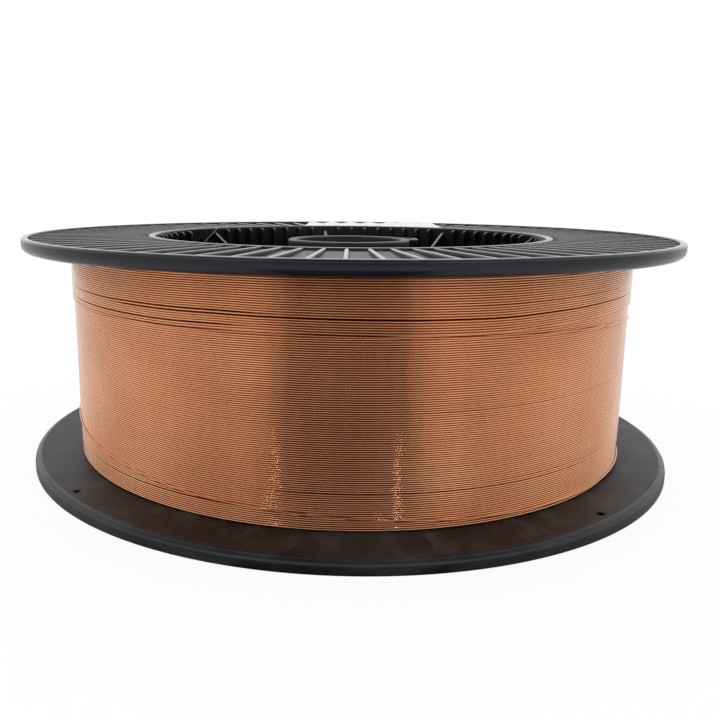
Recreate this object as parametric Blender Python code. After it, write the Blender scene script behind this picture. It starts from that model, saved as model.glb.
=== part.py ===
"""A 300 mm plastic spool full of MIG welding wire, lying flat on one of its flanges.

The spool is one moulding: two ribbed flanges, a barrel with ribs and gusset webs inside, a middle disc,
the hub tube that turns on the spindle, and the tube for the driver pin. The wire is one turned body
around the barrel. A blank paper label lies on the upper flange. Units are metres, and +Z is up.
"""

import math

import bmesh
import bpy
from mathutils import Matrix, Vector

MM = 0.001
DEGREE = math.radians(1)

# Overall form of the spool
SPOOL_WIDTH = 103 * MM
FLANGE_RADIUS = 150 * MM
FLANGE_THICKNESS = 6 * MM
FLANGE_OUTER_ROUND = 1.0 * MM
FLANGE_INNER_ROUND = 2.8 * MM
FLANGE_SEGMENTS = 96

# Relief on the outer face of each flange
RIM_WIDTH = 2.8 * MM
FLANGE_RIB_COUNT = 72
FLANGE_RIB_THICKNESS = 1.8 * MM
FLANGE_RIB_SETBACK = 0.6 * MM
FIRST_FLANGE_RIB_AZIMUTH = 9.6 * DEGREE
POCKET_DEPTH_AT_RING = 1.45 * MM
POCKET_DEPTH_AT_RIM = 3.8 * MM
RIB_ROOT = 0.7 * MM

# Holes near the rim that hold the free end of the wire
END_HOLE_RADIUS = 1.6 * MM
END_HOLE_INSET = 6.3 * MM
END_HOLE_AZIMUTHS = [azimuth * DEGREE for azimuth in (-137.5, -48.6, 42.5, 131.4)]
HOLE_SEGMENTS = 16

# Barrel that carries the wire, and the ribs on its inner wall
BARREL_RADIUS = 95.6 * MM
BARREL_WALL = 3.1 * MM
BARREL_SETBACK = 0.45 * MM
BARREL_EDGE_ROUND = 0.7 * MM
BARREL_RIB_PLACES = 72
BARREL_RIB_THICKNESS = 1.7 * MM
BARREL_RIB_DEPTH = 3.2 * MM
BARREL_RIB_SETBACK = 1.4 * MM
BARREL_RIB_TIP_CHAMFER = 1.3 * MM
FIRST_BARREL_RIB_AZIMUTH = 9 * DEGREE

# The plain stretch of wall where the first turn of wire comes in through its hole
PLAIN_WALL_FIRST_PLACE = 28
PLAIN_WALL_PLACES = 2
START_HOLE_RADIUS = 2.0 * MM
START_HOLE_BELOW_TOP = 8.5 * MM
START_HOLE_AZIMUTH = 151 * DEGREE

# Middle disc, and the gusset webs that brace it to the barrel
MIDDLE_DISC_THICKNESS = 3.0 * MM
GUSSET_COUNT = 8
GUSSET_THICKNESS = 2.0 * MM
GUSSET_SETBACK = 1.8 * MM
GUSSET_RISE_AT_HUB = 4.0 * MM

# Hub tube for the spindle, and the tube for the driver pin
HUB_BORE_RADIUS = 25.75 * MM
HUB_WALL = 3.75 * MM
HUB_RECESS = 2.7 * MM
HUB_EDGE_ROUND = 0.9 * MM
HUB_SEGMENTS = 48
PIN_HOLE_RADIUS = 5.25 * MM
PIN_TUBE_WALL = 2.75 * MM
PIN_CIRCLE_RADIUS = 44.5 * MM
PIN_AZIMUTH = 50 * DEGREE
PIN_TUBE_RECESS = 4.3 * MM
PIN_SEGMENTS = 24

# Wire, wound in full layers with one part layer on top
WIRE_DIAMETER = 0.8 * MM
FULL_LAYERS = 48
PART_LAYER_BELOW_TOP = 27 * MM
CLEARANCE = 0.3 * MM
WINDING_SEGMENTS = 96

# Blank paper label on the upper flange
LABEL_THICKNESS = 0.3 * MM
LABEL_MIDDLE_AZIMUTH = 84 * DEGREE
LABEL_WIDTH = 81 * MM
LABEL_MARGIN = 0.9 * MM
LABEL_STEPS = 14

# Fineness of the rounded corners
ROUND_PER_FACET = 1.0 * MM

# Looks: colour, metallic, roughness
BLACK_PLASTIC = ((0.020, 0.020, 0.022, 1), 0.0, 0.38)
COPPERED_STEEL = ((0.72, 0.35, 0.20, 1), 1.0, 0.30)
WHITE_PAPER = ((0.86, 0.86, 0.85, 1), 0.0, 0.75)

# Sizes that follow from those above
BARREL_INNER_RADIUS = BARREL_RADIUS - BARREL_WALL
RIM_INNER_RADIUS = FLANGE_RADIUS - RIM_WIDTH
END_HOLE_CIRCLE_RADIUS = FLANGE_RADIUS - END_HOLE_INSET
BARREL_WALL_MIDDLE = BARREL_RADIUS - BARREL_WALL / 2
HUB_RADIUS = HUB_BORE_RADIUS + HUB_WALL
HUB_WALL_MIDDLE = HUB_BORE_RADIUS + HUB_WALL / 2
DISC_TOP = (SPOOL_WIDTH + MIDDLE_DISC_THICKNESS) / 2
DISC_BOTTOM = (SPOOL_WIDTH - MIDDLE_DISC_THICKNESS) / 2
RIB_TOP = SPOOL_WIDTH - FLANGE_RIB_SETBACK
LAYER_STEP = WIRE_DIAMETER * math.sqrt(3) / 2
WINDING_BORE = BARREL_RADIUS + CLEARANCE
WINDING_RADIUS = WINDING_BORE + WIRE_DIAMETER + (FULL_LAYERS - 1) * LAYER_STEP


def clear_scene():
    for old in list(bpy.data.objects):
        bpy.data.objects.remove(old, do_unlink=True)


def principled(name, looks):
    """A material with one colour, metallic value and roughness."""
    colour, metallic, roughness = looks
    material = bpy.data.materials.new(name)
    material.use_nodes = True
    shader = material.node_tree.nodes["Principled BSDF"]
    shader.inputs["Base Color"].default_value = colour
    shader.inputs["Metallic"].default_value = metallic
    shader.inputs["Roughness"].default_value = roughness
    material.diffuse_color = colour
    return material


def object_from(bm, name, material=None):
    """Makes an object of this mesh, with smooth sides and sharp corners."""
    bmesh.ops.recalc_face_normals(bm, faces=bm.faces)
    mesh = bpy.data.meshes.new(name)
    bm.to_mesh(mesh)
    bm.free()
    mesh.shade_smooth()
    mesh.set_sharp_from_angle(angle=30 * DEGREE)
    made = bpy.data.objects.new(name, mesh)
    bpy.context.scene.collection.objects.link(made)
    if material:
        mesh.materials.append(material)
    return made


def combine(target, tool, operation):
    """Joins the tool to the target, or cuts the tool's shape out of it."""
    tool.hide_render = True
    tool.display_type = "WIRE"
    boolean = target.modifiers.new(tool.name, "BOOLEAN")
    boolean.operation = operation
    boolean.solver = "EXACT"
    boolean.object = tool


def rounded(corners):
    """The outline through (radius, height, round) corners, small rounds as one chamfer, large ones as arcs."""
    outline = []
    for index, (radius, height, rounding) in enumerate(corners):
        here = Vector((radius, height))
        if not rounding:
            outline.append(here)
            continue
        before = (Vector(corners[index - 1][:2]) - here).normalized() * rounding
        after = (Vector(corners[(index + 1) % len(corners)][:2]) - here).normalized() * rounding
        facets = max(1, round(rounding / ROUND_PER_FACET))
        for facet in range(facets + 1):
            turn = math.pi / 2 * facet / facets
            outline.append(here + before * (1 - math.sin(turn)) + after * (1 - math.cos(turn)))
    return outline


def turned(name, corners, segments, material=None):
    """A ring turned about the Z axis from a closed section of (radius, height, round) corners."""
    bm = bmesh.new()
    section = [bm.verts.new((point.x, 0, point.y)) for point in rounded(corners)]
    edges = [bm.edges.new((section[i - 1], section[i])) for i in range(len(section))]
    bmesh.ops.spin(
        bm,
        geom=section + edges,
        cent=(0, 0, 0),
        axis=(0, 0, 1),
        angle=math.tau,
        steps=segments,
        use_merge=True,
    )
    return object_from(bm, name, material)


def add_fin(bm, outline, thickness, azimuth):
    """Adds an upright plate with this (radius, height) outline, along a radius of the spool."""
    near_side = [bm.verts.new((radius, -thickness / 2, height)) for radius, height in outline]
    face = bm.faces.new(near_side)
    extruded = bmesh.ops.extrude_face_region(bm, geom=[face])["geom"]
    far_side = [item for item in extruded if isinstance(item, bmesh.types.BMVert)]
    bmesh.ops.translate(bm, verts=far_side, vec=(0, thickness, 0))
    turn = Matrix.Rotation(azimuth, 4, "Z")
    bmesh.ops.transform(bm, matrix=turn, verts=near_side + far_side)


def add_rod(bm, radius, bottom, top, circle_radius, azimuth, segments):
    """Adds an upright rod, its axis on a circle around the spool's axis."""
    place = Matrix.Rotation(azimuth, 4, "Z") @ Matrix.Translation((circle_radius, 0, (bottom + top) / 2))
    bmesh.ops.create_cone(
        bm,
        cap_ends=True,
        segments=segments,
        radius1=radius,
        radius2=radius,
        depth=top - bottom,
        matrix=place,
    )


def turned_body():
    """Flanges, barrel and middle disc as one turned section."""
    upper_corners = [
        (HUB_WALL_MIDDLE, DISC_TOP, 0),
        (BARREL_INNER_RADIUS, DISC_TOP, 0),
        (BARREL_INNER_RADIUS, SPOOL_WIDTH - BARREL_SETBACK, BARREL_EDGE_ROUND),
        (BARREL_RADIUS, SPOOL_WIDTH - BARREL_SETBACK, 0),
        (BARREL_RADIUS, SPOOL_WIDTH - POCKET_DEPTH_AT_RING, 0),
        (RIM_INNER_RADIUS, SPOOL_WIDTH - POCKET_DEPTH_AT_RIM, 0),
        (RIM_INNER_RADIUS, SPOOL_WIDTH, 0),
        (FLANGE_RADIUS, SPOOL_WIDTH, FLANGE_OUTER_ROUND),
        (FLANGE_RADIUS, SPOOL_WIDTH - FLANGE_THICKNESS, FLANGE_INNER_ROUND),
        (BARREL_RADIUS, SPOOL_WIDTH - FLANGE_THICKNESS, 0),
    ]
    lower_corners = [(radius, SPOOL_WIDTH - height, rounding) for radius, height, rounding in upper_corners]
    corners = upper_corners + lower_corners[::-1]
    return turned("spool", corners, FLANGE_SEGMENTS, principled("black_plastic", BLACK_PLASTIC))


def flange_ribs():
    """Radial ribs of both flanges, rooted in the ring, the rim and the pocket floors."""
    bm = bmesh.new()
    inner, outer = BARREL_WALL_MIDDLE, FLANGE_RADIUS - RIM_WIDTH / 2
    root_at_ring = POCKET_DEPTH_AT_RING + RIB_ROOT
    root_at_rim = POCKET_DEPTH_AT_RIM + RIB_ROOT
    upper = [
        (inner, RIB_TOP),
        (outer, RIB_TOP),
        (outer, SPOOL_WIDTH - root_at_rim),
        (inner, SPOOL_WIDTH - root_at_ring),
    ]
    lower = [(radius, SPOOL_WIDTH - height) for radius, height in upper]
    for rib in range(FLANGE_RIB_COUNT):
        azimuth = FIRST_FLANGE_RIB_AZIMUTH + rib * math.tau / FLANGE_RIB_COUNT
        add_fin(bm, upper, FLANGE_RIB_THICKNESS, azimuth)
        add_fin(bm, lower, FLANGE_RIB_THICKNESS, azimuth)
    return object_from(bm, "flange_ribs")


def barrel_ribs():
    """Upright ribs on the barrel's inner wall, left out at the gussets and on the plain stretch."""
    bm = bmesh.new()
    outer = BARREL_WALL_MIDDLE
    inner = BARREL_INNER_RADIUS - BARREL_RIB_DEPTH
    bottom = BARREL_RIB_SETBACK
    top = SPOOL_WIDTH - BARREL_RIB_SETBACK
    tip = BARREL_RIB_TIP_CHAMFER
    outline = [
        (outer, bottom),
        (inner + tip, bottom),
        (inner, bottom + tip),
        (inner, top - tip),
        (inner + tip, top),
        (outer, top),
    ]
    plain = range(PLAIN_WALL_FIRST_PLACE, PLAIN_WALL_FIRST_PLACE + PLAIN_WALL_PLACES)
    places_per_gusset = BARREL_RIB_PLACES // GUSSET_COUNT
    for place in range(BARREL_RIB_PLACES):
        if place in plain or place % places_per_gusset == 0:
            continue
        azimuth = FIRST_BARREL_RIB_AZIMUTH + place * math.tau / BARREL_RIB_PLACES
        add_fin(bm, outline, BARREL_RIB_THICKNESS, azimuth)
    return object_from(bm, "barrel_ribs")


def gussets():
    """Webs that fall from the barrel's lips to the middle disc at the hub."""
    bm = bmesh.new()
    outline = [
        (BARREL_WALL_MIDDLE, GUSSET_SETBACK),
        (HUB_WALL_MIDDLE, DISC_BOTTOM - GUSSET_RISE_AT_HUB),
        (HUB_WALL_MIDDLE, DISC_TOP + GUSSET_RISE_AT_HUB),
        (BARREL_WALL_MIDDLE, SPOOL_WIDTH - GUSSET_SETBACK),
    ]
    for web in range(GUSSET_COUNT):
        azimuth = FIRST_BARREL_RIB_AZIMUTH + web * math.tau / GUSSET_COUNT
        add_fin(bm, outline, GUSSET_THICKNESS, azimuth)
    return object_from(bm, "gussets")


def hub_tube():
    bottom, top = HUB_RECESS, SPOOL_WIDTH - HUB_RECESS
    corners = [
        (HUB_BORE_RADIUS, bottom, HUB_EDGE_ROUND),
        (HUB_BORE_RADIUS, top, HUB_EDGE_ROUND),
        (HUB_RADIUS, top, HUB_EDGE_ROUND),
        (HUB_RADIUS, bottom, HUB_EDGE_ROUND),
    ]
    return turned("hub_tube", corners, HUB_SEGMENTS)


def pin_tube():
    bm = bmesh.new()
    bottom, top = PIN_TUBE_RECESS, SPOOL_WIDTH - PIN_TUBE_RECESS
    radius = PIN_HOLE_RADIUS + PIN_TUBE_WALL
    add_rod(bm, radius, bottom, top, PIN_CIRCLE_RADIUS, PIN_AZIMUTH, PIN_SEGMENTS)
    return object_from(bm, "pin_tube")


def holes():
    """Cutters for the driver pin, the wire end holes of both flanges and the start hole."""
    bm = bmesh.new()
    add_rod(bm, PIN_HOLE_RADIUS, 0, SPOOL_WIDTH, PIN_CIRCLE_RADIUS, PIN_AZIMUTH, PIN_SEGMENTS)
    for middle in (FLANGE_THICKNESS / 2, SPOOL_WIDTH - FLANGE_THICKNESS / 2):
        bottom, top = middle - FLANGE_THICKNESS, middle + FLANGE_THICKNESS
        for azimuth in END_HOLE_AZIMUTHS:
            add_rod(bm, END_HOLE_RADIUS, bottom, top, END_HOLE_CIRCLE_RADIUS, azimuth, HOLE_SEGMENTS)
    height = SPOOL_WIDTH - START_HOLE_BELOW_TOP
    place = Matrix.Rotation(START_HOLE_AZIMUTH, 4, "Z") @ Matrix.Translation((BARREL_WALL_MIDDLE, 0, height))
    bmesh.ops.create_cone(
        bm,
        cap_ends=True,
        segments=HOLE_SEGMENTS,
        radius1=START_HOLE_RADIUS,
        radius2=START_HOLE_RADIUS,
        depth=2 * BARREL_WALL,
        matrix=place @ Matrix.Rotation(math.pi / 2, 4, "Y"),
    )
    return object_from(bm, "holes")


def build_spool():
    spool = turned_body()
    for grown in (flange_ribs(), barrel_ribs(), gussets(), hub_tube(), pin_tube()):
        combine(spool, grown, "UNION")
    combine(spool, holes(), "DIFFERENCE")


def build_winding():
    """The wire as one turned body, with its part layer standing proud at the top."""
    bottom = FLANGE_THICKNESS + CLEARANCE
    top = SPOOL_WIDTH - FLANGE_THICKNESS - CLEARANCE
    part_layer_foot = SPOOL_WIDTH - PART_LAYER_BELOW_TOP
    proud = WINDING_RADIUS + LAYER_STEP
    corners = [
        (WINDING_BORE, bottom, 0),
        (WINDING_BORE, top, 0),
        (proud, top, WIRE_DIAMETER / 2),
        (proud, part_layer_foot, 0),
        (WINDING_RADIUS, part_layer_foot - WIRE_DIAMETER / 2, 0),
        (WINDING_RADIUS, bottom, WIRE_DIAMETER / 2),
    ]
    turned("wire_winding", corners, WINDING_SEGMENTS, principled("coppered_steel", COPPERED_STEEL))


def build_label():
    """A paper label with two parallel sides and two arcs, lying just clear of the rib tops."""
    inner = BARREL_RADIUS + LABEL_MARGIN
    outer = RIM_INNER_RADIUS - LABEL_MARGIN
    bm = bmesh.new()
    rows = []
    for step in range(LABEL_STEPS + 1):
        across = LABEL_WIDTH * (step / LABEL_STEPS - 0.5)
        rows.append([bm.verts.new((math.sqrt(r * r - across * across), across, 0)) for r in (inner, outer)])
    for here, there in zip(rows, rows[1:]):
        bm.faces.new((here[0], here[1], there[1], there[0]))
    paper = object_from(bm, "paper_label", principled("white_paper", WHITE_PAPER))
    paper.location.z = RIB_TOP + CLEARANCE
    paper.rotation_euler.z = LABEL_MIDDLE_AZIMUTH
    thicken = paper.modifiers.new("thickness", "SOLIDIFY")
    thicken.thickness = LABEL_THICKNESS
    thicken.offset = 1


def main():
    clear_scene()
    build_spool()
    build_winding()
    build_label()


main()
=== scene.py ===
"""Looks of a plastic spool full of copper-coated MIG welding wire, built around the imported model."""

import math

import bmesh
import bpy
import numpy as np
from mathutils import Matrix, Vector


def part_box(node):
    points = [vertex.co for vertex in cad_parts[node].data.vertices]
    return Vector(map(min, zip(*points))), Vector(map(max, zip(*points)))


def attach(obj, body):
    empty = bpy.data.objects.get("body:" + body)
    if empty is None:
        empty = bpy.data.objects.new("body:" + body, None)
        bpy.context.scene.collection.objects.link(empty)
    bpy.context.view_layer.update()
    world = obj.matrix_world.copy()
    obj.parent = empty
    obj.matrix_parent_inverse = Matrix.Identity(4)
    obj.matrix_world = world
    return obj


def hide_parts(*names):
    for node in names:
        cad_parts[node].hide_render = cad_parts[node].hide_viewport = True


MM = 0.001
DEGREE = math.radians(1)

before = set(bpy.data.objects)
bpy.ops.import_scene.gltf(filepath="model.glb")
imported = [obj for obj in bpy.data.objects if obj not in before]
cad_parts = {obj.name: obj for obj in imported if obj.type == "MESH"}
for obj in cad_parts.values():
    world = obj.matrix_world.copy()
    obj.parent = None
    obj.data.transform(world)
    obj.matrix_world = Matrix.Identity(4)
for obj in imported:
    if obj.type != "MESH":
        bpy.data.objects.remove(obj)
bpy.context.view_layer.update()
spool_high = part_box("spool")[1]
winding_low, winding_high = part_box("wire_winding")

# Spool, outer sizes from the frame
FLANGE_RADIUS = spool_high.x
SPOOL_WIDTH = spool_high.z
WINDING_CLEARANCE = 0.3 * MM
LOWER_FACE = winding_low.z - WINDING_CLEARANCE
UPPER_FACE = winding_high.z + WINDING_CLEARANCE
SPOOL_SEGMENTS = 320

# Spool, relief as in the solid
RIM_WIDTH = 2.8 * MM
FLANGE_OUTER_ROUND = 1.0 * MM
FLANGE_INNER_ROUND = 2.8 * MM
SMALL_ROUND = 0.45 * MM
FLANGE_RIB_COUNT = 72
FLANGE_RIB_THICKNESS = 1.8 * MM
FLANGE_RIB_SETBACK = 0.6 * MM
POCKET_DEPTH_AT_RING = 1.45 * MM
POCKET_DEPTH_AT_RIM = 3.8 * MM
RIB_ROOT = 0.7 * MM
FLANGE_RIB_EDGE_ROUND = 0.5 * MM
FIRST_FLANGE_RIB_AZIMUTH = 9.6 * DEGREE
END_HOLE_RADIUS = 1.6 * MM
END_HOLE_INSET = 6.3 * MM
END_HOLE_AZIMUTHS = [azimuth * DEGREE for azimuth in (-137.5, -48.6, 42.5, 131.4)]
BARREL_RADIUS = 95.6 * MM
BARREL_WALL = 3.1 * MM
BARREL_SETBACK = 0.45 * MM
BARREL_EDGE_ROUND = 0.75 * MM
BARREL_RIB_PLACES = 72
BARREL_RIB_THICKNESS = 1.7 * MM
BARREL_RIB_DEPTH = 3.2 * MM
BARREL_RIB_SETBACK = 1.4 * MM
BARREL_RIB_TIP_CHAMFER = 1.1 * MM
BARREL_RIB_EDGE_ROUND = 0.6 * MM
FIRST_BARREL_RIB_AZIMUTH = 9 * DEGREE
PLAIN_WALL_PLACES = (28, 29)
START_HOLE_RADIUS = 2.0 * MM
START_HOLE_BELOW_TOP = 8.5 * MM
START_HOLE_AZIMUTH = 151 * DEGREE
MIDDLE_DISC_THICKNESS = 3.0 * MM
GUSSET_COUNT = 8
GUSSET_THICKNESS = 2.0 * MM
GUSSET_SETBACK = 1.8 * MM
GUSSET_RISE_AT_HUB = 4.0 * MM
GUSSET_EDGE_ROUND = 0.5 * MM
HUB_BORE_RADIUS = 25.75 * MM
HUB_WALL = 3.75 * MM
HUB_RECESS = 2.7 * MM
HUB_EDGE_ROUND = 1.0 * MM
HUB_SEGMENTS = 128
PIN_HOLE_RADIUS = 5.25 * MM
PIN_TUBE_WALL = 2.75 * MM
PIN_CIRCLE_RADIUS = 44.5 * MM
PIN_AZIMUTH = 50 * DEGREE
PIN_TUBE_RECESS = 4.3 * MM
PIN_TUBE_EDGE_ROUND = 0.8 * MM
PIN_TUBE_SEGMENTS = 48
SMALL_HOLE_SEGMENTS = 32
HOLE_OVERSHOOT = 2 * MM
PLASTIC_SHARP_ANGLE = 32 * DEGREE

BARREL_INNER_RADIUS = BARREL_RADIUS - BARREL_WALL
BARREL_WALL_MIDDLE = BARREL_RADIUS - BARREL_WALL / 2
RIM_INNER_RADIUS = FLANGE_RADIUS - RIM_WIDTH
HUB_RADIUS = HUB_BORE_RADIUS + HUB_WALL
HUB_WALL_MIDDLE = HUB_BORE_RADIUS + HUB_WALL / 2
DISC_TOP = (SPOOL_WIDTH + MIDDLE_DISC_THICKNESS) / 2
DISC_BOTTOM = (SPOOL_WIDTH - MIDDLE_DISC_THICKNESS) / 2
RIB_TOP = SPOOL_WIDTH - FLANGE_RIB_SETBACK
END_HOLE_CIRCLE_RADIUS = FLANGE_RADIUS - END_HOLE_INSET

# Wire
WIRE_RADIUS = 0.4 * MM
LAYER_STEP = WIRE_RADIUS * math.sqrt(3)
PROUD_RADIUS = winding_high.x
FULL_RADIUS = PROUD_RADIUS - LAYER_STEP
WINDING_BORE = BARREL_RADIUS + WINDING_CLEARANCE
WINDING_COLUMNS = 144
WINDING_SEED = 11
FULL_LAYER_TURNS = 92
TOP_LAYER_TURNS = 24
TOP_LAYER_SETBACK = 0.03 * MM
TURN_ANGLES = np.radians([-60, -30, 0, 30, 60])
GROOVE_DEPTH_BY_GAP = 0.7
HEIGHT_WANDER = 0.012 * MM
RADIUS_WANDER = 0.010 * MM
WINDING_SHARP_ANGLE = 62 * DEGREE
LOOSE_WIRE_SHARP_ANGLE = 50 * DEGREE


def smoothstep(value, low, high):
    share = np.clip((value - low) / (high - low), 0, 1)
    return share * share * (3 - 2 * share)


def window(azimuth, start, end, fade=8):
    """1 between two azimuths in degrees, fading to 0 outside them."""
    return smoothstep(azimuth, start - fade, start) * (1 - smoothstep(azimuth, end, end + fade))


def through(points, places):
    """A smooth line through given (place, value) points, read at these places."""
    at = np.array([point[0] for point in points], float)
    value = np.array([point[1] for point in points], float)
    slope = np.gradient(value, at)
    index = np.clip(np.searchsorted(at, places) - 1, 0, len(at) - 2)
    span = at[index + 1] - at[index]
    t = np.clip((places - at[index]) / span, 0, 1)
    return (
        (2 * t**3 - 3 * t**2 + 1) * value[index]
        + (t**3 - 2 * t**2 + t) * span * slope[index]
        + (3 * t**2 - 2 * t**3) * value[index + 1]
        + (t**3 - t**2) * span * slope[index + 1]
    )


def link(name, mesh, material):
    made = bpy.data.objects.new(name, mesh)
    bpy.context.scene.collection.objects.link(made)
    mesh.materials.clear()
    mesh.materials.append(material)
    return made


def mesh_from(bm, name):
    bmesh.ops.recalc_face_normals(bm, faces=bm.faces)
    mesh = bpy.data.meshes.new(name)
    bm.to_mesh(mesh)
    bm.free()
    return mesh


def mesh_from_arrays(name, points, faces):
    mesh = bpy.data.meshes.new(name)
    mesh.from_pydata(np.asarray(points).reshape(-1, 3).tolist(), [], [list(face) for face in faces])
    mesh.update()
    return mesh


class Shading:
    """The node tree of a material or of the world, with a short call for each kind of node."""

    def __init__(self, owner):
        owner.use_nodes = True
        self.nodes = owner.node_tree.nodes
        self.links = owner.node_tree.links

    def fill(self, node, inputs):
        """Gives a node's inputs, by name or number, a plain value or a link to another node."""
        for key, value in inputs.items():
            if isinstance(value, (int, float, tuple)):
                node.inputs[key].default_value = value
            else:
                self.links.new(value, node.inputs[key])

    def put(self, kind, inputs, **settings):
        made = self.nodes.new("ShaderNode" + kind)
        for name, value in settings.items():
            setattr(made, name, value)
        self.fill(made, inputs)
        return made

    def coordinates(self, kind):
        return self.put("TexCoord", {}).outputs[kind]

    def separated(self, vector):
        return tuple(self.put("SeparateXYZ", {"Vector": vector}).outputs)

    def stretched(self, vector, scale):
        return self.put("Mapping", {"Scale": scale, "Vector": vector}).outputs["Vector"]

    def noise(self, vector, scale, detail, roughness=0.55):
        inputs = {"Scale": scale, "Detail": detail, "Roughness": roughness, "Vector": vector}
        return self.put("TexNoise", inputs).outputs["Fac"]

    def ranged(self, value, low, high, to_low=0, to_high=1):
        """A value between low and high brought to the second range, and held at its ends."""
        inputs = {"From Min": low, "From Max": high, "To Min": to_low, "To Max": to_high, "Value": value}
        return self.put("MapRange", inputs).outputs["Result"]

    def maths(self, operation, *values):
        return self.put("Math", dict(enumerate(values)), operation=operation).outputs["Value"]

    def times(self, first, second):
        return self.maths("MULTIPLY", first, second)

    def plus(self, first, second):
        return self.maths("ADD", first, second)

    def radius(self, x, y):
        """The distance from the Z axis."""
        return self.maths("SQRT", self.plus(self.times(x, x), self.times(y, y)))

    def mixed(self, mask, first, second):
        """The first colour where the mask is 0 and the second where it is 1."""
        made = self.put("Mix", {"Factor": mask}, data_type="RGBA")
        a, b = [number for number, socket in enumerate(made.inputs) if socket.type == "RGBA"]
        self.fill(made, {a: first, b: second})
        return [socket for socket in made.outputs if socket.type == "RGBA"][0]

    def layered(self, tone, layers):
        """A colour under layers, each a mask and the colour that it brings."""
        for mask, colour in layers:
            tone = self.mixed(mask, tone, colour)
        return tone


def new_material(name):
    material = bpy.data.materials.new(name)
    tree = Shading(material)
    return material, tree, tree.nodes["Principled BSDF"]


def grey(level):
    return (level, level, level, 1)


# Plastic
MOULDED_BLACK = (0.010, 0.0106, 0.0135, 1)
MOULDED_BLACK_LIGHTER = (0.014, 0.0147, 0.018, 1)
RUBBED_TONE = (0.046, 0.040, 0.037, 1)
STREAK_TONE = (0.090, 0.082, 0.078, 1)
# Dust and a painted sheen on the polished tops
DUST_AND_SHEEN_TONE = (0.100, 0.103, 0.113, 1)
SCUFF_TONE = (0.06, 0.06, 0.063, 1)
PLASTIC_GLOSS_TINT = (0.90, 0.93, 1.0, 1)
PLASTIC_IOR = 1.49
SCUFF_STRETCH = (30, 190, 30)
RUBBED_STRETCH = (1, 1, 3)
STREAK_CHANGE_OUTWARDS = 4.0


def black_plastic():
    """Moulded black plastic: satin, with a faint flow pattern, fine grain and light scuffs.

    The tops of the upper ribs and rim are polished, and the ribs lighter with dust and a painted sheen.
    The pockets between them and the hub are duller. The lower flange is rubbed, with faint radial streaks.
    """
    material, tree, shader = new_material("black_plastic")
    place = tree.coordinates("Object")
    x, y, z = tree.separated(place)
    radius = tree.radius(x, y)

    # Areas of the spool
    lower_flange = tree.ranged(z, 20 * MM, 60 * MM, 1, 0)
    inside_rim = tree.ranged(radius, RIM_INNER_RADIUS - 0.2 * MM, RIM_INNER_RADIUS + 0.2 * MM, 1, 0)
    at_top = tree.ranged(z, SPOOL_WIDTH - 1.9 * MM, SPOOL_WIDTH - 1.2 * MM)
    polished = tree.times(at_top, tree.ranged(radius, BARREL_RADIUS + 1 * MM, BARREL_RADIUS + 4 * MM))
    below_top = tree.ranged(z, SPOOL_WIDTH - 1.2 * MM, SPOOL_WIDTH - 0.8 * MM, 1, 0)
    in_pockets = tree.times(tree.ranged(radius, BARREL_RADIUS, BARREL_RADIUS + 1 * MM), inside_rim)
    at_hub = tree.ranged(radius, HUB_RADIUS + 1 * MM, HUB_RADIUS + 2 * MM, 1, 0)
    recessed = tree.times(below_top, tree.maths("MAXIMUM", in_pockets, at_hub))

    # Marks
    flow = tree.noise(place, scale=45, detail=4)
    scuffs = tree.noise(tree.stretched(place, SCUFF_STRETCH), scale=1, detail=5, roughness=0.7)
    scuffs = tree.ranged(scuffs, 0.58, 0.74)
    dust = tree.ranged(tree.noise(place, scale=900, detail=2), 0.66, 0.78)
    scuffs_and_dust = tree.maths("MAXIMUM", tree.times(scuffs, 0.5), dust)
    rubbed = tree.noise(tree.stretched(place, RUBBED_STRETCH), scale=26, detail=6, roughness=0.65)
    rubbed = tree.ranged(rubbed, 0.45, 0.66)
    outward = tree.put("CombineXYZ", {
        "X": tree.maths("DIVIDE", x, radius),
        "Y": tree.maths("DIVIDE", y, radius),
        "Z": tree.times(radius, STREAK_CHANGE_OUTWARDS),
    })
    streaks = tree.noise(outward.outputs["Vector"], scale=13, detail=5, roughness=0.68)
    streaks = tree.times(tree.ranged(streaks, 0.50, 0.70), tree.times(lower_flange, inside_rim))

    tone = tree.layered(tree.mixed(flow, MOULDED_BLACK, MOULDED_BLACK_LIGHTER), [
        (tree.times(lower_flange, rubbed), RUBBED_TONE),
        (streaks, STREAK_TONE),
        # Dust and a painted sheen: the polished tops are lighter and bluer, for the backdrop's gloss at a
        # grazing angle
        (tree.times(polished, inside_rim), DUST_AND_SHEEN_TONE),
        (tree.times(scuffs_and_dust, 0.35), SCUFF_TONE),
    ])
    roughness = tree.ranged(flow, 0.3, 0.7, 0.15, 0.20)
    for area, added in [
        (scuffs, 0.10),
        (lower_flange, tree.ranged(rubbed, 0, 1, 0.08, 0.18)),
        (streaks, 0.10),
        (polished, -0.07),
        (recessed, 0.22),
    ]:
        roughness = tree.plus(roughness, tree.times(area, added))
    tree.fill(shader, {
        "Base Color": tone,
        "Roughness": roughness,
        "Specular IOR Level": tree.ranged(lower_flange, 0, 1, 0.5, 0.43),
        "Specular Tint": PLASTIC_GLOSS_TINT,
        "IOR": PLASTIC_IOR,
    })
    return material


# Copper coat
COPPER = (0.88, 0.39, 0.19, 1)
COPPER_DEEPER = (0.81, 0.345, 0.16, 1)
PALE_CLOUD_TONE = (0.92, 0.455, 0.24, 1)
DARK_PATCH_TONE = (0.77, 0.325, 0.15, 1)
SPECK_TONE = (0.30, 0.12, 0.06, 1)
# Painted shade in the grooves between turns
GROOVE_PAINTED_SHADE_TONE = (0.15, 0.052, 0.022, 1)
# A dulled tone on the last turn, and painted shade on the inner end inside the barrel
DULL_AND_SHADE_TONE = (0.10, 0.07, 0.06, 1)
GROOVE_SHADE_FROM = 0.12 * MM
GROOVE_SHADE_TO = 0.38 * MM
SHADED_CREST_SETBACK = 0.035 * MM
TURN_STRETCH = (7, 7, 700)
PATCH_STRETCH = (14, 14, 22)


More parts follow.
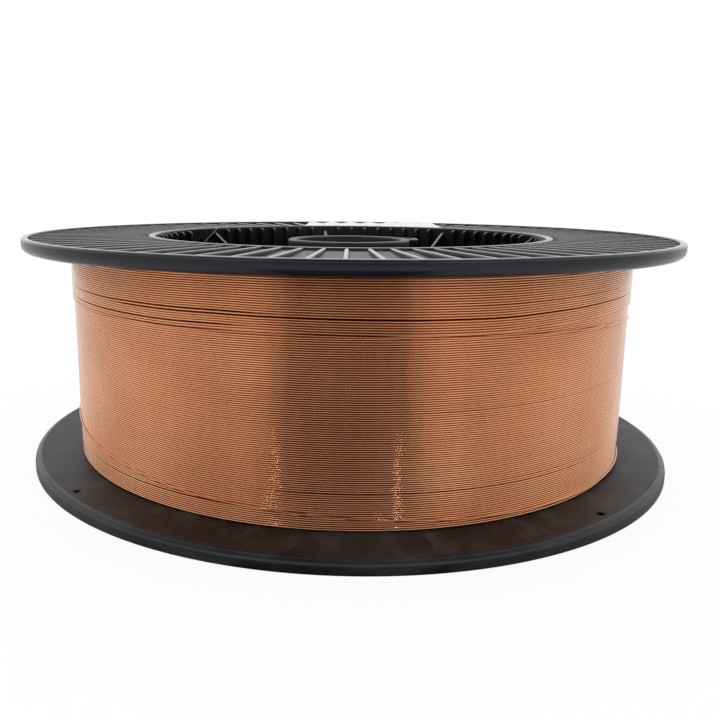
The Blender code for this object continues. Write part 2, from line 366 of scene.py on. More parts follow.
def coppered_wire(name, crest_radius, dull_and_shade=0.0):
    """Bright drawn steel wire with a thin copper coat, darkened in the grooves between turns by painted
    shade.
    """
    material, tree, shader = new_material(name)
    place = tree.coordinates("Object")
    radius = tree.radius(*tree.separated(place)[:2])
    groove = tree.ranged(radius, crest_radius - GROOVE_SHADE_TO, crest_radius - GROOVE_SHADE_FROM, 1, 0)
    by_turn = tree.noise(tree.stretched(place, TURN_STRETCH), scale=1, detail=2)
    cloud = tree.noise(place, scale=28, detail=3)
    patch = tree.noise(tree.stretched(place, PATCH_STRETCH), scale=1, detail=3)
    speck = tree.ranged(tree.noise(place, scale=700, detail=2), 0.70, 0.80)
    layers = [
        (tree.ranged(cloud, 0.40, 0.68, 0, 0.85), PALE_CLOUD_TONE),
        (tree.ranged(patch, 0.35, 0.55, 0.7, 0), DARK_PATCH_TONE),
        (tree.times(speck, 0.5), SPECK_TONE),
        # Painted shade: the grooves between turns darken towards this colour
        (groove, GROOVE_PAINTED_SHADE_TONE),
    ]
    # The dull tone: a little dulling on the last turn, painted shade for the dark inside of the barrel on the
    # inner end
    if dull_and_shade:
        layers.append((tree.ranged(cloud, 0.2, 0.8, dull_and_shade - 0.1, dull_and_shade + 0.1), DULL_AND_SHADE_TONE))
    tree.fill(shader, {
        "Base Color": tree.layered(tree.mixed(by_turn, COPPER, COPPER_DEEPER), layers),
        "Metallic": 1.0,
        "Roughness": tree.ranged(by_turn, 0.3, 0.7, 0.06, 0.09),
        "Coat Weight": 0.3,
        "Coat Roughness": 0.10,
    })
    return material


# Label paper
PAPER_WHITE = (0.79, 0.80, 0.80, 1)
PAPER_WHITE_BRIGHTER = (0.84, 0.845, 0.845, 1)


def white_paper():
    """Blank coated label paper with a faint fibre and slightly uneven white."""
    material, tree, shader = new_material("white_paper")
    place = tree.coordinates("Object")
    fibre = tree.noise(place, scale=2600, detail=4)
    cloud = tree.noise(place, scale=60, detail=3)
    bump = tree.put("Bump", {"Strength": 0.08, "Distance": 0.05 * MM, "Height": fibre})
    tree.fill(shader, {
        "Base Color": tree.mixed(cloud, PAPER_WHITE, PAPER_WHITE_BRIGHTER),
        "Roughness": tree.ranged(fibre, 0.3, 0.7, 0.42, 0.58),
        "Normal": bump.outputs["Normal"],
    })
    return material


# Floor: a strip in front of the object that only the gloss sees, and where each change starts and ends
STRIP_HALF_WIDTH = 0.03
STRIP_START = 0.134
STRIP_EDGE_ANGLES = (20 * DEGREE, 38 * DEGREE)
STRIP_TURNS_PALE = (0.28, 0.58)
STRIP_TURNS_DARK = (0.85, 1.10)
SIDES_TURN_DARKER = (0.50, 0.95)
SHADOW_ENDS = (0.16, 0.26)


def floor_finish():
    """A pale floor, white to the camera apart from the object's shadow.

    To other rays it is dark close in front of the object, as painted shade for the camera's side,
    pale further on and dark again beyond, and at the sides pale, and a little darker further out.
    """
    material, tree, shader = new_material("pale_floor")
    place = tree.coordinates("Object")
    x, y, z = tree.separated(place)
    distance = tree.put("VectorMath", {0: place}, operation="LENGTH").outputs["Value"]
    seen = tree.put("LightPath", {}).outputs["Is Camera Ray"]
    pale = tree.mixed(tree.noise(place, scale=3, detail=2), grey(0.78), grey(0.80))

    towards = tree.times(y, -1.0)
    aside = tree.maths("ARCTAN2", tree.maths("SUBTRACT", tree.maths("ABSOLUTE", x), STRIP_HALF_WIDTH),
                       tree.maths("SUBTRACT", towards, STRIP_START))
    # Painted shade: close in front, the floor is nearly black to other rays, for the shade on the camera's
    # side
    in_front = tree.layered(grey(0.05), [
        (tree.ranged(towards, *STRIP_TURNS_PALE), grey(0.80)),
        (tree.ranged(towards, *STRIP_TURNS_DARK), grey(0.12)),
    ])
    beside = tree.mixed(tree.ranged(distance, *SIDES_TURN_DARKER), grey(0.78), grey(0.62))
    unseen = tree.mixed(tree.ranged(aside, *STRIP_EDGE_ANGLES), in_front, beside)
    tree.fill(shader, {
        "Base Color": tree.mixed(seen, unseen, pale),
        "Roughness": 0.7,
        "Specular IOR Level": 0.2,
    })

    white = tree.put("Emission", {})
    shadow_fade = tree.ranged(distance, *SHADOW_ENDS, 0.95, 1.0)
    surface = tree.put("MixShader", {
        "Fac": tree.times(shadow_fade, seen),
        1: shader.outputs["BSDF"],
        2: white.outputs["Emission"],
    })
    tree.fill(tree.nodes["Material Output"], {"Surface": surface.outputs["Shader"]})
    return material


# Spool
def rounded(corners, steps=4):
    """The outline through (radius, height, fillet) corners, each fillet as an arc."""
    outline = []
    for index, (radius, height, fillet) in enumerate(corners):
        here = Vector((radius, height))
        if not fillet:
            outline.append(here)
            continue
        before = (Vector(corners[index - 1][:2]) - here).normalized()
        after = (Vector(corners[(index + 1) % len(corners)][:2]) - here).normalized()
        half = before.angle(after) / 2
        sweep = math.pi - 2 * half
        reach = fillet / math.tan(half)
        centre = here + (before + after).normalized() * fillet / math.sin(half)
        first, last = here + before * reach - centre, here + after * reach - centre
        for step in range(steps + 1):
            share = step / steps
            arm = first * math.sin((1 - share) * sweep) + last * math.sin(share * sweep)
            outline.append(centre + arm / math.sin(sweep))
    return outline


def turned(name, corners, segments, steps=4):
    """A ring turned about the Z axis from a closed section."""
    section = rounded(corners, steps)
    bm = bmesh.new()
    verts = [bm.verts.new((point.x, 0, point.y)) for point in section]
    edges = [bm.edges.new((verts[i - 1], verts[i])) for i in range(len(verts))]
    bmesh.ops.spin(bm, geom=verts + edges, cent=(0, 0, 0), axis=(0, 0, 1), angle=math.tau,
                   steps=segments, use_merge=True)
    return mesh_from(bm, name)


def add_fin(bm, outline, thickness, azimuth, edge_round, segments=2):
    """Adds an upright plate with this (radius, height) outline and round edges, along a radius."""
    near = [bm.verts.new((radius, -thickness / 2, height)) for radius, height in outline]
    far = [bm.verts.new((radius, thickness / 2, height)) for radius, height in outline]
    faces = [bm.faces.new(near), bm.faces.new(far[::-1])]
    for i in range(len(near)):
        faces.append(bm.faces.new((near[i - 1], far[i - 1], far[i], near[i])))
    edges = list({edge for face in faces for edge in face.edges})
    result = bmesh.ops.bevel(bm, geom=edges, offset=edge_round, segments=segments, profile=0.5,
                             affect="EDGES", clamp_overlap=True)
    moved = {vert for face in result["faces"] for vert in face.verts}
    bmesh.ops.transform(bm, matrix=Matrix.Rotation(azimuth, 4, "Z"), verts=list(moved))


def add_rod(bm, radius, bottom, top, circle_radius, azimuth, segments=SMALL_HOLE_SEGMENTS):
    """Adds an upright rod at this azimuth on a circle round the Z axis."""
    place = Matrix.Rotation(azimuth, 4, "Z") @ Matrix.Translation((circle_radius, 0, (bottom + top) / 2))
    bmesh.ops.create_cone(bm, cap_ends=True, segments=segments, radius1=radius, radius2=radius,
                          depth=top - bottom, matrix=place)


def turned_body():
    upper_corners = [
        (HUB_WALL_MIDDLE, DISC_TOP, 0),
        (BARREL_INNER_RADIUS, DISC_TOP, SMALL_ROUND),
        (BARREL_INNER_RADIUS, SPOOL_WIDTH - BARREL_SETBACK, BARREL_EDGE_ROUND),
        (BARREL_RADIUS, SPOOL_WIDTH - BARREL_SETBACK, SMALL_ROUND),
        (BARREL_RADIUS, SPOOL_WIDTH - POCKET_DEPTH_AT_RING, 0),
        (RIM_INNER_RADIUS, SPOOL_WIDTH - POCKET_DEPTH_AT_RIM, SMALL_ROUND),
        (RIM_INNER_RADIUS, SPOOL_WIDTH, SMALL_ROUND),
        (FLANGE_RADIUS, SPOOL_WIDTH, FLANGE_OUTER_ROUND),
        (FLANGE_RADIUS, UPPER_FACE, FLANGE_INNER_ROUND),
        (BARREL_RADIUS, UPPER_FACE, 0),
    ]
    lower_corners = [(radius, SPOOL_WIDTH - height, fillet) for radius, height, fillet in upper_corners]
    return turned("spool_body", upper_corners + lower_corners[::-1], SPOOL_SEGMENTS)


def flange_ribs():
    bm = bmesh.new()
    inner, outer = BARREL_WALL_MIDDLE, FLANGE_RADIUS - RIM_WIDTH / 2
    upper = [
        (inner, RIB_TOP),
        (outer, RIB_TOP),
        (outer, SPOOL_WIDTH - POCKET_DEPTH_AT_RIM - RIB_ROOT),
        (inner, SPOOL_WIDTH - POCKET_DEPTH_AT_RING - RIB_ROOT),
    ]
    lower = [(radius, SPOOL_WIDTH - height) for radius, height in upper]
    for rib in range(FLANGE_RIB_COUNT):
        azimuth = FIRST_FLANGE_RIB_AZIMUTH + rib * math.tau / FLANGE_RIB_COUNT
        add_fin(bm, upper, FLANGE_RIB_THICKNESS, azimuth, FLANGE_RIB_EDGE_ROUND, 3)
        add_fin(bm, lower, FLANGE_RIB_THICKNESS, azimuth, FLANGE_RIB_EDGE_ROUND, 3)
    return mesh_from(bm, "flange_ribs")


def inner_webs():
    """Ribs on the barrel's inner wall, and the gusset webs between them."""
    bm = bmesh.new()
    outer = BARREL_WALL_MIDDLE
    inner = BARREL_INNER_RADIUS - BARREL_RIB_DEPTH
    bottom, top, tip = BARREL_RIB_SETBACK, SPOOL_WIDTH - BARREL_RIB_SETBACK, BARREL_RIB_TIP_CHAMFER
    rib = [
        (outer, bottom),
        (inner + tip, bottom),
        (inner, bottom + tip),
        (inner, top - tip),
        (inner + tip, top),
        (outer, top),
    ]
    web = [
        (outer, GUSSET_SETBACK),
        (HUB_WALL_MIDDLE, DISC_BOTTOM - GUSSET_RISE_AT_HUB),
        (HUB_WALL_MIDDLE, DISC_TOP + GUSSET_RISE_AT_HUB),
        (outer, SPOOL_WIDTH - GUSSET_SETBACK),
    ]
    places_per_gusset = BARREL_RIB_PLACES // GUSSET_COUNT
    for place in range(BARREL_RIB_PLACES):
        azimuth = FIRST_BARREL_RIB_AZIMUTH + place * math.tau / BARREL_RIB_PLACES
        if place % places_per_gusset == 0:
            add_fin(bm, web, GUSSET_THICKNESS, azimuth, GUSSET_EDGE_ROUND)
        elif place not in PLAIN_WALL_PLACES:
            add_fin(bm, rib, BARREL_RIB_THICKNESS, azimuth, BARREL_RIB_EDGE_ROUND)
    return mesh_from(bm, "inner_webs")


def hub_tube():
    bottom, top, edge = HUB_RECESS, SPOOL_WIDTH - HUB_RECESS, HUB_EDGE_ROUND
    corners = [(HUB_BORE_RADIUS, bottom, edge), (HUB_BORE_RADIUS, top, edge),
               (HUB_RADIUS, top, edge), (HUB_RADIUS, bottom, edge)]
    return turned("hub_tube", corners, HUB_SEGMENTS, 5)


def pin_tube():
    """The driver pin's tube, with a core hole that hole_cutters opens to its full width."""
    bottom, top, edge = PIN_TUBE_RECESS, SPOOL_WIDTH - PIN_TUBE_RECESS, PIN_TUBE_EDGE_ROUND
    outer = PIN_HOLE_RADIUS + PIN_TUBE_WALL
    core = PIN_HOLE_RADIUS / 2
    corners = [(core, bottom, 0), (core, top, 0), (outer, top, edge), (outer, bottom, edge)]
    mesh = turned("pin_tube", corners, PIN_TUBE_SEGMENTS)
    mesh.transform(Matrix.Rotation(PIN_AZIMUTH, 4, "Z") @ Matrix.Translation((PIN_CIRCLE_RADIUS, 0, 0)))
    return mesh


def hole_cutters():
    bm = bmesh.new()
    add_rod(bm, PIN_HOLE_RADIUS, 0, SPOOL_WIDTH, PIN_CIRCLE_RADIUS, PIN_AZIMUTH, PIN_TUBE_SEGMENTS)
    through_lower = (-HOLE_OVERSHOOT, LOWER_FACE + HOLE_OVERSHOOT)
    through_upper = (UPPER_FACE - HOLE_OVERSHOOT, SPOOL_WIDTH + HOLE_OVERSHOOT)
    for bottom, top in (through_lower, through_upper):
        for azimuth in END_HOLE_AZIMUTHS:
            add_rod(bm, END_HOLE_RADIUS, bottom, top, END_HOLE_CIRCLE_RADIUS, azimuth)
    height = SPOOL_WIDTH - START_HOLE_BELOW_TOP
    place = Matrix.Rotation(START_HOLE_AZIMUTH, 4, "Z") @ Matrix.Translation((BARREL_WALL_MIDDLE, 0, height))
    bmesh.ops.create_cone(bm, cap_ends=True, segments=SMALL_HOLE_SEGMENTS,
                          radius1=START_HOLE_RADIUS, radius2=START_HOLE_RADIUS,
                          depth=2 * BARREL_WALL, matrix=place @ Matrix.Rotation(math.pi / 2, 4, "Y"))
    return mesh_from(bm, "holes")


def fused(name, body, joined, cut, material):
    """One mesh of the body with these meshes joined to it and the last one cut out of it."""
    made = link(name, body, material)
    tools = []
    for mesh, operation in [(mesh, "UNION") for mesh in joined] + [(cut, "DIFFERENCE")]:
        tool = link(mesh.name, mesh, material)
        tools.append(tool)
        boolean = made.modifiers.new(mesh.name, "BOOLEAN")
        boolean.operation = operation
        boolean.solver = "MANIFOLD"
        boolean.object = tool
    evaluated = made.evaluated_get(bpy.context.evaluated_depsgraph_get())
    result = bpy.data.meshes.new_from_object(evaluated)
    made.modifiers.clear()
    made.data = result
    for tool in tools:
        bpy.data.objects.remove(tool, do_unlink=True)
    result.shade_smooth()
    result.set_sharp_from_angle(angle=PLASTIC_SHARP_ANGLE)
    weighted = made.modifiers.new("weighted_normals", "WEIGHTED_NORMAL")
    weighted.keep_sharp = True
    return made


def build_spool():
    material = black_plastic()
    joined = [flange_ribs(), inner_webs(), hub_tube(), pin_tube()]
    spool = fused("spool_moulding", turned_body(), joined, hole_cutters(), material)
    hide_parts("spool")
    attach(spool, "root")


# Wire
def ring_noise(random, count, azimuths, size):
    """A slow wander for each turn, periodic round the winding."""
    wander = size * random.normal(0, 0.5, (count, 1)) * np.ones_like(azimuths)
    for wave in (1, 2, 4):
        phase = random.uniform(0, math.tau, (count, 1))
        wander += size / wave * random.uniform(0.2, 0.8, (count, 1)) * np.sin(wave * azimuths + phase)
    return wander


def winding_rows(heights, crest_radius, gaps):
    """Rows of (radius, height) over the turns: five points on each wire and one in each groove.

    heights and crest_radius are arrays of turns by columns. gaps is the open width below each turn.
    """
    centre = crest_radius - WIRE_RADIUS
    rows = []
    for turn in range(len(heights)):
        if turn:
            groove_height = (heights[turn - 1] + heights[turn]) / 2
            groove_radius = (centre[turn - 1] + centre[turn]) / 2 - GROOVE_DEPTH_BY_GAP * gaps[turn]
        else:
            groove_height = heights[turn] - WIRE_RADIUS
            groove_radius = centre[turn]
        rows.append((groove_radius, groove_height))
        for angle in TURN_ANGLES:
            out, up = WIRE_RADIUS * math.cos(angle), WIRE_RADIUS * math.sin(angle)
            rows.append((centre[turn] + out, heights[turn] + up))
    rows.append((centre[-1], heights[-1] + WIRE_RADIUS))
    return rows


def wound_mesh(name, rows, azimuths):
    """A closed ring from rows of (radius, height) that go once round its section."""
    radius = np.array([np.broadcast_to(row[0], azimuths.shape) for row in rows])
    height = np.array([np.broadcast_to(row[1], azimuths.shape) for row in rows])
    points = np.stack((radius * np.cos(azimuths), radius * np.sin(azimuths), height), axis=-1)
    count, columns = radius.shape
    row, column = np.meshgrid(np.arange(count), np.arange(columns), indexing="ij")
    next_row, next_column = (row + 1) % count, (column + 1) % columns
    corners = (row * columns + column, row * columns + next_column,
               next_row * columns + next_column, next_row * columns + column)
    faces = np.stack(corners, axis=-1).reshape(-1, 4)
    mesh = mesh_from_arrays(name, points, faces)
    mesh.shade_smooth()
    mesh.set_sharp_from_angle(angle=WINDING_SHARP_ANGLE)
    return mesh


# Open gaps below a turn: the turn, the gap's width in mm and its azimuths in degrees
FULL_LAYER_GAPS = [
    (8, 0.30, -156, -108),
    (17, 0.22, -98, -48),
    (19, 0.12, -60, -20),
    (53, 0.10, -75, -30),
]
TOP_LAYER_GAPS = [
    (2, 0.42, -172, -112),
    (6, 0.38, -128, -24),
    (7, 0.36, -170, -108),
    (11, 0.12, -66, -40),
]

# Up to this turn the full layer is wound a little closer, which makes up for its gaps
CLOSED_UP_BY_TURN = 80

# Height in mm of the part layer's lowest turn, by azimuth in degrees
TOP_EDGE_HEIGHTS = [
    (-180, 77.0), (-155, 76.9), (-135, 76.7), (-120, 76.5), (-104, 76.9), (-90, 76.5), (-75, 76.1),
    (-64, 76.1), (-56, 76.8), (-49, 77.2), (-41, 77.7), (-26, 77.4), (0, 77.2), (60, 76.8),
    (120, 77.0), (180, 77.0),
]


def open_gaps(turns, listed, degrees):
    """The open width below each turn, for these turns and columns."""
    gaps = np.zeros((turns, len(degrees)))
    for turn, width, start, end in listed:
        gaps[turn] = width * MM * window(degrees, start, end)
    return gaps


def build_full_layer(material, random, azimuths, degrees):
    """The full outer layer, and the body of the winding behind it."""
    turns = np.arange(FULL_LAYER_TURNS)[:, None]
    heights = winding_low.z + WIRE_RADIUS + turns * 2 * WIRE_RADIUS
    heights = heights + ring_noise(random, FULL_LAYER_TURNS, azimuths, HEIGHT_WANDER)
    gaps = open_gaps(FULL_LAYER_TURNS, FULL_LAYER_GAPS, degrees)
    made_up = smoothstep(turns, 0, CLOSED_UP_BY_TURN) * gaps.sum(axis=0)
    heights = heights + np.cumsum(gaps, axis=0) - made_up
    crest = FULL_RADIUS + ring_noise(random, FULL_LAYER_TURNS, azimuths, RADIUS_WANDER)
    rows = winding_rows(heights, crest, gaps)
    hidden_radius = FULL_RADIUS - 1.5 * LAYER_STEP
    rows += [
        (hidden_radius, rows[-1][1].max() + WIRE_RADIUS),
        (hidden_radius, winding_high.z),
        (WINDING_BORE, winding_high.z),
        (WINDING_BORE, winding_low.z),
        (hidden_radius, winding_low.z),
    ]
    layer = link("wire_full_layer", wound_mesh("wire_full_layer", rows, azimuths), material)
    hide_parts("wire_winding")
    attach(layer, "root")


def build_top_layer(material, random, azimuths, degrees):
    """The part layer that stands proud in the upper part of the winding."""
    turns = np.arange(TOP_LAYER_TURNS)[:, None]
    gaps = open_gaps(TOP_LAYER_TURNS, TOP_LAYER_GAPS, degrees)
    lowest = through(TOP_EDGE_HEIGHTS, degrees) * MM
    highest = winding_high.z - WIRE_RADIUS
    pitch = (highest - lowest - gaps.sum(axis=0)) / (TOP_LAYER_TURNS - 1)
    heights = lowest + turns * pitch + np.cumsum(gaps, axis=0)
    heights[1:-1] += ring_noise(random, TOP_LAYER_TURNS, azimuths, HEIGHT_WANDER)[1:-1]
    crest = PROUD_RADIUS - TOP_LAYER_SETBACK + ring_noise(random, TOP_LAYER_TURNS, azimuths, RADIUS_WANDER)
    rows = winding_rows(heights, crest, gaps)
    backing = FULL_RADIUS - LAYER_STEP
    rows += [(backing, rows[-1][1]), (backing, rows[0][1])]
    layer = link("wire_top_layer", wound_mesh("wire_top_layer", rows, azimuths), material)
    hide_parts("wire_winding")
    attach(layer, "root")


def tube(name, path, radius, material, sides=10):
    """A round wire along a path of points, with closed ends."""
    path = np.asarray(path, float)
    ahead = np.gradient(path, axis=0)
    ahead /= np.linalg.norm(ahead, axis=1)[:, None]
    side = np.cross(ahead[0], (0.0, 0.0, 1.0))
    if np.linalg.norm(side) < 0.1:
        side = np.cross(ahead[0], (1.0, 0.0, 0.0))
    angles = np.arange(sides) * math.tau / sides
    points = []
    for place, direction in zip(path, ahead):
        side = side - direction * side.dot(direction)
        side /= np.linalg.norm(side)
        up = np.cross(side, direction)
        for angle in angles:
            points.append(place + radius * (math.cos(angle) * side + math.sin(angle) * up))
    faces = []
    for ring in range(len(path) - 1):
        for i in range(sides):
            j = (i + 1) % sides
            faces.append((ring * sides + i, ring * sides + j, (ring + 1) * sides + j, (ring + 1) * sides + i))
    last = (len(path) - 1) * sides
    faces.append(tuple(range(sides))[::-1])
    faces.append(tuple(last + i for i in range(sides)))
    mesh = mesh_from_arrays(name, points, faces)
    mesh.shade_smooth()
    mesh.set_sharp_from_angle(angle=LOOSE_WIRE_SHARP_ANGLE)
    made = link(name, mesh, material)
    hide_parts("wire_winding")
    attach(made, "root")


# Height in mm of the last turn by azimuth in degrees, from inside the part layer to an end hole
LAST_TURN_HEIGHTS = [
    (-230, 77.0), (-215, 76.6), (-200, 76.2), (-180, 76.1), (-155, 76.0), (-135, 75.8), (-120, 75.4),
    (-104, 75.8), (-90, 75.5), (-71, 74.6), (-57, 73.8), (-40, 72.7), (-23.5, 70.6), (0, 66.5),
    (40, 58.0), (90, 46.5), (135, 36.0), (165, 29.0), (180, 26.4), (200, 22.6), (219, 19.0),
    (230, 17.2), (244, 14.3), (257, 13.0), (266, 11.8), (276, 10.8), (285, 9.7), (300, 8.5),
    (315, 8.0), (335, 7.7), (360, 7.7), (380, 7.7),
]
LAST_TURN_POINTS = 300
HOOK_BEND_RADIUS = 2.2 * MM
HOOK_DEPTHS = (1.0 * MM, 2.0 * MM, 3.0 * MM, 4.0 * MM)


def build_last_turn(material):
    """The last turn leaves the part layer, crosses the winding and hooks into an end hole."""
    riding_radius = PROUD_RADIUS - WIRE_RADIUS
    hole_azimuth = END_HOLE_AZIMUTHS[2]
    leave_angle = math.acos(riding_radius / END_HOLE_CIRCLE_RADIUS)
    leave = 360 + (hole_azimuth - leave_angle) / DEGREE
    degrees = np.linspace(LAST_TURN_HEIGHTS[0][0], leave, LAST_TURN_POINTS)
    azimuths = np.radians(degrees)
    heights = through(LAST_TURN_HEIGHTS, degrees) * MM
    path = np.stack((riding_radius * np.cos(azimuths), riding_radius * np.sin(azimuths), heights), axis=-1)
    hole = np.array((END_HOLE_CIRCLE_RADIUS * math.cos(hole_azimuth),
                     END_HOLE_CIRCLE_RADIUS * math.sin(hole_azimuth), 0.0))
    start = path[-1]
    run = hole - start
    run[2] = 0
    ahead = run / np.linalg.norm(run)
    straight = run - ahead * HOOK_BEND_RADIUS
    tail = [start + straight * share for share in np.linspace(0.04, 1, 24)]
    centre = start + straight - np.array((0, 0, HOOK_BEND_RADIUS))
    for turn in np.radians(np.linspace(12, 90, 7)):
        tail.append(centre + HOOK_BEND_RADIUS * (ahead * math.sin(turn) + np.array((0, 0, math.cos(turn)))))
    foot = tail[-1]
    tail += [foot - np.array((0, 0, depth)) for depth in HOOK_DEPTHS]
    tube("wire_last_turn", np.vstack((path, tail)), WIRE_RADIUS, material)


# The wire's inner end: azimuth in degrees, mm outwards of the wall's face and mm above the start hole
FIRST_END_STOPS = [
    (151.0, 2.5, 0), (150.9, 0.8, 0), (150.6, -0.5, 0.3), (149.8, -1.0, 1.0),
    (148.4, -0.9, 2.4), (146.5, -0.75, 4.3), (144.5, -0.6, 6.3), (143.0, -0.45, 7.9),
]
FIRST_END_POINTS = 40


def build_first_end(material):
    """The inner end of the wire, poked through the barrel wall and laid up against its lip."""
    hole_height = SPOOL_WIDTH - START_HOLE_BELOW_TOP
    stops = [(degrees, BARREL_INNER_RADIUS + outwards * MM, hole_height + above * MM)
             for degrees, outwards, above in FIRST_END_STOPS]
    places = np.linspace(0, len(stops) - 1, FIRST_END_POINTS)
    degrees, radius, height = (through(list(enumerate(values)), places) for values in zip(*stops))
    azimuths = np.radians(degrees)
    path = np.stack((radius * np.cos(azimuths), radius * np.sin(azimuths), height), axis=-1)
    tube("wire_first_end", path, WIRE_RADIUS, material)


def build_winding():
    full_wire = coppered_wire("coppered_wire_full_layer", FULL_RADIUS)
    top_wire = coppered_wire("coppered_wire_top_layer", PROUD_RADIUS - SHADED_CREST_SETBACK)
    loose_wire = coppered_wire("coppered_wire_last_turn", 0, dull_and_shade=0.2)
    # Painted shade: the inner end is darkened for the dark inside of the barrel
    shaded_end_wire = coppered_wire("coppered_wire_first_end", 0, dull_and_shade=0.85)
    random = np.random.default_rng(WINDING_SEED)
    azimuths = np.arange(WINDING_COLUMNS) * math.tau / WINDING_COLUMNS - math.pi
    degrees = np.degrees(azimuths)
    build_full_layer(full_wire, random, azimuths, degrees)
    build_top_layer(top_wire, random, azimuths, degrees)
    build_last_turn(loose_wire)
    build_first_end(shaded_end_wire)


# Label
LABEL_LEFT = -27 * MM
LABEL_WIDTH = 81.5 * MM
LABEL_MARGIN = 0.9 * MM
LABEL_COLUMNS = 120
LABEL_ROWS = 24
LABEL_THICKNESS = 0.11 * MM
LABEL_LIFT = 0.12 * MM
LABEL_FLAT_FROM = 22 * MM
LABEL_FLAT_TO = 34 * MM
SAG_AT_BARREL = 0.10 * MM
SAG_MORE_AT_RIM = 0.75 * MM
SAG_LOST_WHERE_FLAT = 0.7
CURL_AT_RIM = 0.40 * MM
CURL_MORE_WHERE_FLAT = 0.20 * MM


def build_label():
    """The blank label lies on the rib tops, sags a little between them and curls up to the rim."""
    inner, outer = BARREL_RADIUS + LABEL_MARGIN, RIM_INNER_RADIUS - LABEL_MARGIN
    points, faces = [], []
    rib_step = math.tau / FLANGE_RIB_COUNT
    for column in range(LABEL_COLUMNS + 1):
        x = LABEL_LEFT + LABEL_WIDTH * column / LABEL_COLUMNS
        near, far = (math.sqrt(r * r - x * x) for r in (inner, outer))
        flat = smoothstep(x, LABEL_FLAT_FROM, LABEL_FLAT_TO)
        for row in range(LABEL_ROWS + 1):
            share = row / LABEL_ROWS
            y = near + (far - near) * share
            between = ((math.atan2(y, x) - FIRST_FLANGE_RIB_AZIMUTH) / rib_step) % 1
            sag = (SAG_AT_BARREL + SAG_MORE_AT_RIM * share**2) * (1 - SAG_LOST_WHERE_FLAT * flat)
            sag = sag * math.sin(math.pi * between) ** 2
            curl = (CURL_AT_RIM + CURL_MORE_WHERE_FLAT * flat) * share**3
            points.append((x, y, RIB_TOP + LABEL_LIFT + curl - sag))
    stride = LABEL_ROWS + 1
    for column in range(LABEL_COLUMNS):
        for row in range(LABEL_ROWS):
            here = column * stride + row
            faces.append((here, here + 1, here + stride + 1, here + stride))
    mesh = mesh_from_arrays("blank_label", points, faces)
    mesh.shade_smooth()
    label = link("blank_label", mesh, white_paper())
    thicken = label.modifiers.new("thickness", "SOLIDIFY")
    thicken.thickness = LABEL_THICKNESS
    thicken.offset = 0
    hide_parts("paper_label")
    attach(label, "root")


# Stage
FLOOR_HALF_SIZE = 6
FLOOR_BELOW = 0.2 * MM


def build_floor():
    bm = bmesh.new()
    bmesh.ops.create_grid(bm, x_segments=1, y_segments=1, size=FLOOR_HALF_SIZE)
    floor = link("floor", mesh_from(bm, "floor"), floor_finish())
    floor.location.z = -FLOOR_BELOW


# Brightness of the studio by angle from the camera's side, from 0 to 180 degrees
STUDIO_LEVELS = [
    (0, 1.00), (12, 1.12), (24, 1.34), (28, 1.38), (35, 1.50),
    (41, 1.50), (50, 1.16), (75, 1.06), (110, 0.90), (140, 1.0),
]
BRIGHTEST = 1.5

# The dark band overhead on the camera's side: where it sets in by the direction's Z and by its angle
BAND_RISE = (0.27, 0.48)
BAND_SIDES = (26 * DEGREE, 108 * DEGREE)


def build_world():
    """White behind the object, and a studio of bright walls, dark overhead on the camera's side."""
    world = bpy.data.worlds.new("studio")
    bpy.context.scene.world = world
    world.cycles.sampling_method = "NONE"
    tree = Shading(world)
    x, y, z = tree.separated(tree.coordinates("Generated"))
    towards_camera = tree.maths("DIVIDE", tree.times(y, -1.0), tree.radius(x, y))
    angle = tree.maths("ARCCOSINE", towards_camera)
    ramp = tree.put("ValToRGB", {"Fac": tree.maths("DIVIDE", angle, math.pi)})
    stops = ramp.color_ramp.elements
    while len(stops) < len(STUDIO_LEVELS):
        stops.new(0.5)
    for stop, (degrees, level) in zip(stops, STUDIO_LEVELS):
        stop.position = degrees / 180
        stop.color = grey(level / BRIGHTEST)
    overhead = tree.times(tree.ranged(angle, *BAND_SIDES, 1, 0), tree.ranged(z, *BAND_RISE))
    studio = tree.mixed(overhead, ramp.outputs["Color"], grey(0.03))
    rays = tree.put("LightPath", {}).outputs
    seen = tree.maths("MAXIMUM", rays["Is Camera Ray"], rays["Is Transmission Ray"])
    tree.fill(tree.nodes["Background"], {
        "Color": tree.mixed(seen, studio, grey(1.0)),
        "Strength": tree.ranged(seen, 0, 1, BRIGHTEST, 1),
    })


# Two narrow lamps that make thin streaks on the winding: name, azimuth and angle upwards in degrees
LAMPS = [("left_lamp", -136, 64), ("right_lamp", -55.5, 66)]
LAMP_DISTANCE = 1.6
LAMP_SIZE = (0.03, 0.13)
LAMP_POWER = 0.23
LAMP_TARGET = Vector((0, 0, 0.05))
SOFTBOX_PLACE = (0.0, 0.9, 1.7)
SOFTBOX_SIZE = (1.6, 1.0)
SOFTBOX_POWER = 12


def add_area_lamp(name, place, size, power):
    light = bpy.data.lights.new(name, "AREA")
    light.shape = "RECTANGLE"
    light.size, light.size_y = size
    light.energy = power
    lamp = bpy.data.objects.new(name, light)
    bpy.context.scene.collection.objects.link(lamp)
    lamp.location = place
    lamp.rotation_euler = (LAMP_TARGET - Vector(place)).to_track_quat("-Z", "Y").to_euler()


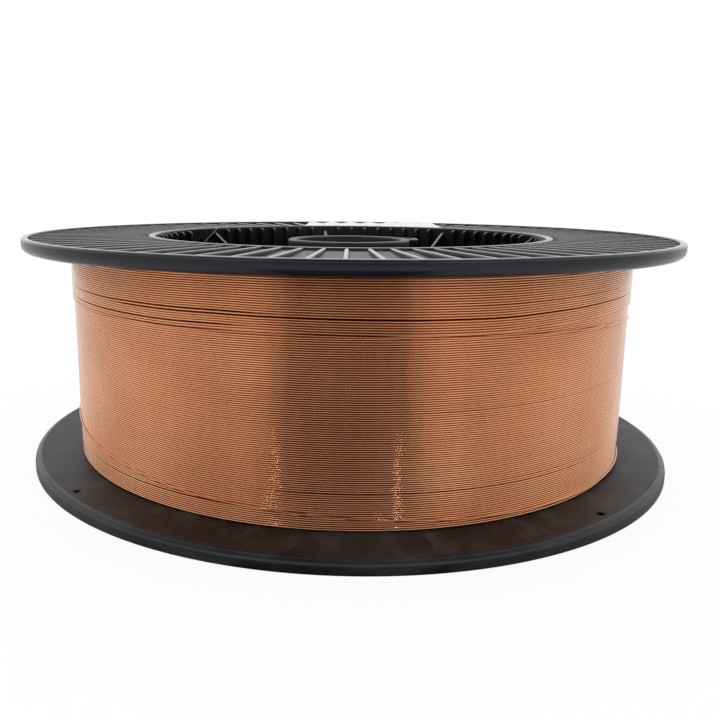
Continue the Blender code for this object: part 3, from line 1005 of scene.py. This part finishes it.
def build_lights():
    for name, azimuth, height in LAMPS:
        around, up = azimuth * DEGREE, height * DEGREE
        direction = Vector((math.cos(up) * math.cos(around), math.cos(up) * math.sin(around), math.sin(up)))
        add_area_lamp(name, direction * LAMP_DISTANCE, LAMP_SIZE, LAMP_POWER)
    add_area_lamp("top_softbox", SOFTBOX_PLACE, SOFTBOX_SIZE, SOFTBOX_POWER)


# Camera, solved from the flange and winding outlines in the photo's 720 pixel frame
CAMERA_PLACE = (0, -382.03 * MM, 122.68 * MM)
CAMERA_PITCH = 0.1984
CAMERA_YAW = -0.0385
CAMERA_ROLL = 0.00686
FRAME_PIXELS = 720
FOCAL_PIXELS = 774.82
CENTRE_PIXELS = (317.94, 347.53)
SENSOR_WIDTH = 36
CLIP_START = 0.01


def build_camera():
    data = bpy.data.cameras.new("camera")
    camera = bpy.data.objects.new("camera", data)
    bpy.context.scene.collection.objects.link(camera)
    level = math.cos(CAMERA_PITCH)
    ahead = Vector((math.sin(CAMERA_YAW) * level, math.cos(CAMERA_YAW) * level, -math.sin(CAMERA_PITCH)))
    right = Vector((math.cos(CAMERA_YAW), -math.sin(CAMERA_YAW), 0))
    up = right.cross(ahead)
    side = right * math.cos(CAMERA_ROLL) + up * math.sin(CAMERA_ROLL)
    over = up * math.cos(CAMERA_ROLL) - right * math.sin(CAMERA_ROLL)
    turn = Matrix((side, over, -ahead)).transposed().to_4x4()
    camera.matrix_world = Matrix.Translation(CAMERA_PLACE) @ turn
    data.sensor_width = SENSOR_WIDTH
    data.lens = FOCAL_PIXELS * SENSOR_WIDTH / FRAME_PIXELS
    data.shift_x = (FRAME_PIXELS / 2 - CENTRE_PIXELS[0]) / FRAME_PIXELS
    data.shift_y = (CENTRE_PIXELS[1] - FRAME_PIXELS / 2) / FRAME_PIXELS
    data.clip_start = CLIP_START
    bpy.context.scene.camera = camera


bpy.context.scene.view_settings.view_transform = "Standard"
build_camera()
build_world()
build_lights()
build_floor()
build_spool()
build_winding()
build_label()
